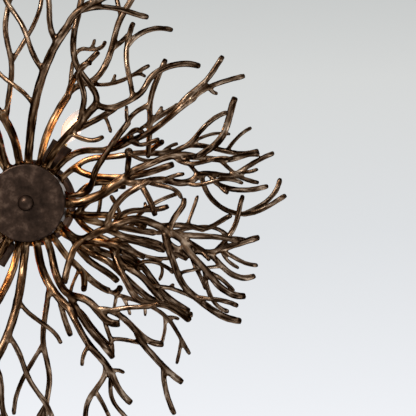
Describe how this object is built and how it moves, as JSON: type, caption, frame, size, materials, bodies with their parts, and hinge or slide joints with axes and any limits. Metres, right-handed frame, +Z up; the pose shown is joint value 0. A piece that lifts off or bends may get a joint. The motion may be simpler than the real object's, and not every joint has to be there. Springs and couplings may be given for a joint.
{
  "type": "flush mount ceiling light",
  "caption": "Flush mount ceiling light: forked, coral-like bronze sprays burst from a central hub below a round canopy, with clear candle bulbs between them.",
  "frame": {"origin": "centre of the canopy on the ceiling plane", "axes": "+Z up out of the ceiling face; the light hangs towards -Z; the ceiling bar lies along X"},
  "size_m": [0.7, 0.6832, 0.3023],
  "materials": {
    "bronze": "dark antique bronze, cast bark-like ridges, rubbed highlights",
    "turned_bronze": "dark bronze, satin, turned",
    "steel": "zinc plated",
    "brass": "plain brass",
    "porcelain": "glazed porcelain",
    "glass": "clear",
    "filament": "glowing filament",
    "lead": "cream insulation",
    "nylon": "amber wire nut",
    "green": "green earth screw"
  },
  "bodies": {
    "fixture": {"spray_a": "bronze", "spray_a_twin": "bronze", "spray_b": "bronze", "spray_b_twin": "bronze", "spray_c": "bronze", "spray_c_twin": "bronze", "spray_d": "bronze", "spray_d_twin": "bronze", "spray_e": "bronze", "spray_e_twin": "bronze", "spray_f": "bronze", "spray_f_twin": "bronze", "spray_g": "bronze", "spray_g_twin": "bronze", "spray_h": "bronze", "spray_h_twin": "bronze", "spray_i": "bronze", "spray_i_twin": "bronze", "spray_j": "bronze", "spray_j_twin": "bronze", "spray_k": "bronze", "spray_k_twin": "bronze", "spray_m": "bronze", "spray_m_twin": "bronze", "spray_n": "bronze", "spray_n_twin": "bronze", "hub": "turned_bronze", "spray_nuts": "steel", "hub_cover": "turned_bronze", "cover_screws": "turned_bronze", "finial": "turned_bronze", "stem_tube": "turned_bronze", "top_nipple": "steel", "hub_nipple": "steel", "lock_nuts": "steel", "ceiling_bar": "steel", "earth_screw": "green", "lamp_1_pipe": "turned_bronze", "lamp_1_cup": "turned_bronze", "lamp_1_holder": "porcelain", "lamp_2_pipe": "turned_bronze", "lamp_2_cup": "turned_bronze", "lamp_2_holder": "porcelain", "pipe_nuts": "steel", "lamp_shells": "brass", "lamp_contacts": "brass", "leads": "lead", "wire_nuts": "nylon"},
    "canopy": {"canopy": "turned_bronze"},
    "canopy_ring": {"canopy_ring": "turned_bronze"},
    "thumb_screw": {"thumb_screw": "turned_bronze"},
    "bulb_1": {"bulb_1_cap": "brass", "bulb_1_glass": "glass", "bulb_1_mount": "glass", "bulb_1_filament": "filament"},
    "bulb_2": {"bulb_2_cap": "brass", "bulb_2_glass": "glass", "bulb_2_mount": "glass", "bulb_2_filament": "filament"}
  },
  "joints": [
    {"name": "canopy_ring_slide", "type": "slide", "parent": "fixture", "child": "canopy_ring", "axis": [0, 0, -1], "range_m": [0, 0.06]},
    {"name": "canopy_slide", "type": "slide", "parent": "fixture", "child": "canopy", "axis": [0, 0, -1], "range_m": [0, 0.06]},
    {"name": "thumb_screw_turn", "type": "hinge", "parent": "canopy_ring", "child": "thumb_screw", "pos_m": [-0.0141, -0.00513, -0.0323], "axis": [-0.9397, -0.342, 0], "continuous": true},
    {"name": "bulb_1_slide", "type": "slide", "parent": "fixture", "child": "bulb_1", "axis": [0.5, -0.866, 0], "range_m": [0, 0.028]},
    {"name": "bulb_2_slide", "type": "slide", "parent": "fixture", "child": "bulb_2", "axis": [-0.5, 0.866, 0], "range_m": [0, 0.028]}
  ],
  "couplings": [
    {"joint": "canopy_slide", "follows": "canopy_ring_slide", "ratio": 1}
  ]
}
